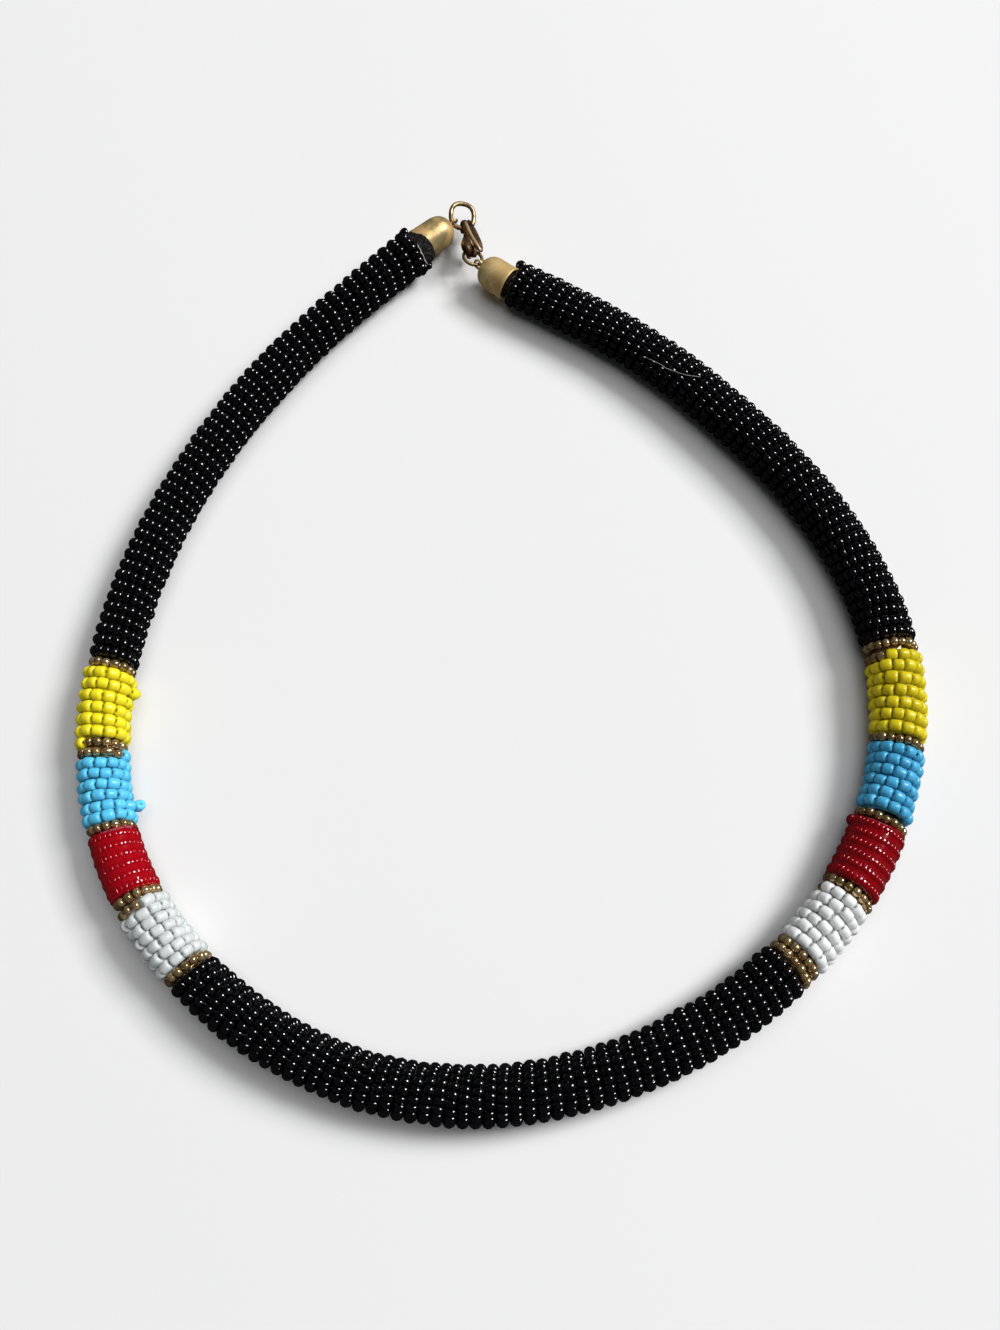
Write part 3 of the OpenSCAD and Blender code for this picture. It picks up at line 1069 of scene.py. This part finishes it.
for look in threadLooks:
    path = [ropePoint(s, around, out) for s, around, out, radius in look["path"]]
    strand = makeTube(look["name"], path, [row[3] for row in look["path"]], threadRoundness)
    finishPiece(strand, materials["thread"], "choker")
print("core and threads done")


# end caps: turned brass cups with a wire eye

capLook = {
    # mm; the eye's middle stands out past the dome's end
    "diameter": 6.8, "sides": 48, "wall": 0.45,
    "rim": 0.12, "rimSteps": 3, "rimAngle": 60,
    "eyeDiameter": 1.9, "eyeWire": 0.5, "eyeOut": 0.65, "eyeSteps": 32, "wireSides": 12,
    # height along the cap and radius as parts of length and radius
    "profile": (
        (0.0, 1.0), (0.05, 1.015), (0.09, 1.0), (0.35, 0.99), (0.56, 0.985), (0.66, 0.965),
        (0.76, 0.90), (0.85, 0.78), (0.92, 0.61), (0.965, 0.42), (0.99, 0.22), (1.0, 0.07),
    ),
}


def makeCap(side):
    place = capPlaces[side]
    radius = capLook["diameter"] / 2 * mm
    length = place["length"] * mm
    clearSelection()
    bpy.ops.mesh.primitive_circle_add(vertices=capLook["sides"], radius=radius)
    cup = bpy.context.object
    bpy.ops.object.mode_set(mode="EDIT")
    bpy.ops.mesh.select_mode(type="VERT")
    bpy.ops.mesh.select_all(action="SELECT")
    height, width = capLook["profile"][0]
    for nextHeight, nextWidth in capLook["profile"][1:]:
        bpy.ops.mesh.extrude_region_move(
            TRANSFORM_OT_translate={"value": (0, 0, (nextHeight - height) * length)}
        )
        ratio = nextWidth / width
        bpy.ops.transform.resize(
            value=(ratio, ratio, 1), center_override=(0, 0, nextHeight * length)
        )
        height, width = nextHeight, nextWidth
    bpy.ops.mesh.edge_face_add()
    bpy.ops.mesh.select_all(action="SELECT")
    bpy.ops.mesh.normals_make_consistent(inside=False)
    bpy.ops.object.mode_set(mode="OBJECT")
    bpy.ops.object.shade_smooth()
    wall = cup.modifiers.new("wall", "SOLIDIFY")
    wall.thickness = capLook["wall"] * mm
    wall.offset = -1
    rim = cup.modifiers.new("rim", "BEVEL")
    rim.width = capLook["rim"] * mm
    rim.segments = capLook["rimSteps"]
    rim.limit_method = "ANGLE"
    rim.angle_limit = math.radians(capLook["rimAngle"])
    applyModifiers(cup)
    clearSelection()
    bpy.ops.mesh.primitive_torus_add(
        major_radius=capLook["eyeDiameter"] / 2 * mm,
        minor_radius=capLook["eyeWire"] / 2 * mm,
        major_segments=capLook["eyeSteps"],
        minor_segments=capLook["wireSides"],
        location=(0, 0, length + capLook["eyeOut"] * mm),
        rotation=(math.radians(90), 0, 0),
    )
    eye = bpy.context.object
    bpy.ops.object.shade_smooth()
    settle(eye)
    cap = joinPieces("endCap_" + side, [cup, eye])
    cap.matrix_world = (
        Matrix.Translation(Vector(place["mouth"]) * mm)
        @ Matrix.Rotation(math.radians(place["heading"]), 4, "Z")
        @ Matrix.Rotation(math.radians(90), 4, "Y")
        @ Matrix.Rotation(math.radians(place["roll"]), 4, "Z")
    )
    settle(cap)
    # painted light: the tone paints the right cap's brass lighter
    setTone(cap, place["tone"])
    finishPiece(cap, materials["cap"], "choker", ["cap_" + side])


for side in capPlaces:
    makeCap(side)
print("caps done")


# jump rings: wire bent to a slightly squared ring, with the cut where its ends meet

ringLooks = {
    # mm: width and depth of the ring, wire, place; degrees: turn, and where the cut is
    "ring_large": {
        "width": 4.8, "depth": 5.45, "square": 2.5, "wire": 0.95,
        "place": (-8.25, 86.95, 4.7), "turn": (8.5, 13.5, 0), "cut": 60,
    },
    "ring_small": {
        "width": 3.9, "depth": 3.56, "square": 2.1, "wire": 0.72,
        "place": (-6.0, 76.55, 5.1), "turn": (-6, 17.5, 0), "cut": 200,
    },
}
ringWire = {"cutWidth": 2, "steps": 60, "roundness": 3}  # the cut in degrees


def makeRing(name):
    look = ringLooks[name]
    turn = Euler([math.radians(v) for v in look["turn"]]).to_matrix()
    start = look["cut"] + ringWire["cutWidth"] / 2
    sweep = 360 - ringWire["cutWidth"]
    path = []
    for i in range(ringWire["steps"] + 1):
        angle = math.radians(start + sweep * i / ringWire["steps"])
        c, s = math.cos(angle), math.sin(angle)
        reach = (abs(c) ** look["square"] + abs(s) ** look["square"]) ** (-1 / look["square"])
        point = Vector((c * reach * look["width"] / 2, s * reach * look["depth"] / 2, 0))
        path.append(Vector(look["place"]) + turn @ point)
    radii = [look["wire"] / 2] * len(path)
    ring = makeTube(name + "_wire", path, radii, ringWire["roundness"])
    finishPiece(ring, materials["ring"], "choker", [name])


for name in ringLooks:
    makeRing(name)
print("rings done")


# clasp: the cast body swells to a teardrop of two limbs, with a raised rib along one of them whose
# lighter brass is a painted highlight

claspLook = {
    "place": (-5.65, 77.35, 4.85),  # mm, of its eye
    "turn": (-73, 4.5, 103),  # degrees
    "voxel": 0.07,  # mm, of the casting's remesh
    "softening": 0.5, "softSteps": 5, "roundness": 3,
    # mm along the clasp from its eye, across it, sideways, and the radius there
    "limbs": {
        "dark": (
            (8.4, -0.55, 0.35, 0.5), (7.2, -0.75, 0.6, 0.54), (5.6, -0.8, 0.75, 0.58),
            (4.2, -0.65, 0.95, 0.70), (3.0, -0.7, 1.3, 0.95), (2.0, -0.85, 1.6, 1.08),
            (1.1, -1.0, 1.75, 1.08), (0.4, -1.15, 1.65, 0.92), (-0.3, -1.3, 1.45, 0.6),
        ),
        "lit": (
            (8.4, -0.55, -0.35, 0.5), (7.2, -0.8, -0.5, 0.56), (5.6, -0.9, -0.74, 0.68),
            (4.2, -0.7, -0.86, 0.88), (3.0, -0.65, -0.95, 0.98), (1.9, -0.8, -1.05, 0.88),
            (0.9, -0.95, -1.15, 0.62), (0.1, -1.0, -1.2, 0.36),
        ),
    },
    "rib": (
        (7.9, -0.95, 0.5, 0.26), (7.0, -1.2, 0.52, 0.33), (6.3, -1.3, 0.5, 0.34),
        (5.4, -1.35, 0.4, 0.32), (4.4, -1.35, 0.22, 0.3), (3.4, -1.35, 0.02, 0.32),
        (2.5, -1.4, -0.2, 0.34), (1.4, -1.45, -0.48, 0.34), (0.5, -1.4, -0.75, 0.28),
        (-0.2, -1.25, -1.0, 0.18),
    ),
}
claspPlace = (
    Matrix.Translation(Vector(claspLook["place"]) * mm)
    @ Euler([math.radians(v) for v in claspLook["turn"]]).to_matrix().to_4x4()
)


def claspTube(name, rows):
    path = [claspPlace @ (Vector(row[:3]) * mm) / mm for row in rows]
    return makeTube(name, path, [row[3] for row in rows], claspLook["roundness"])


def softCast(name, node, limbs):
    # a copy of the solid and its limbs, melted into one cast form
    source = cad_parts[node]
    piece = bpy.data.objects.new(name, source.data.copy())
    bpy.context.scene.collection.objects.link(piece)
    fixNormals(piece)
    parts = [piece]
    for limb, rows in limbs.items():
        parts.append(claspTube(name + "_" + limb, rows))
    piece = joinPieces(name, parts)
    remesh = piece.modifiers.new("cast", "REMESH")
    remesh.mode = "VOXEL"
    remesh.voxel_size = claspLook["voxel"] * mm
    soften = piece.modifiers.new("soften", "SMOOTH")
    soften.factor = claspLook["softening"]
    soften.iterations = claspLook["softSteps"]
    applyModifiers(piece)
    bpy.ops.object.shade_smooth()
    return piece


claspBody = softCast("clasp_casting", "clasp_body", claspLook["limbs"])
finishPiece(claspBody, materials["clasp"], "choker", ["clasp_body"])
# the rib: a raised ridge in lighter brass, a painted highlight
rib = claspTube("clasp_rib", claspLook["rib"])
finishPiece(rib, materials["rib"], "choker")
claspLever = softCast("clasp_gate", "clasp_lever", {})
finishPiece(claspLever, materials["clasp"], "lever", ["clasp_lever"])
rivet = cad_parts["clasp_rivet"]
rivet.data.materials.clear()
rivet.data.materials.append(materials["clasp"])
print("clasp done")
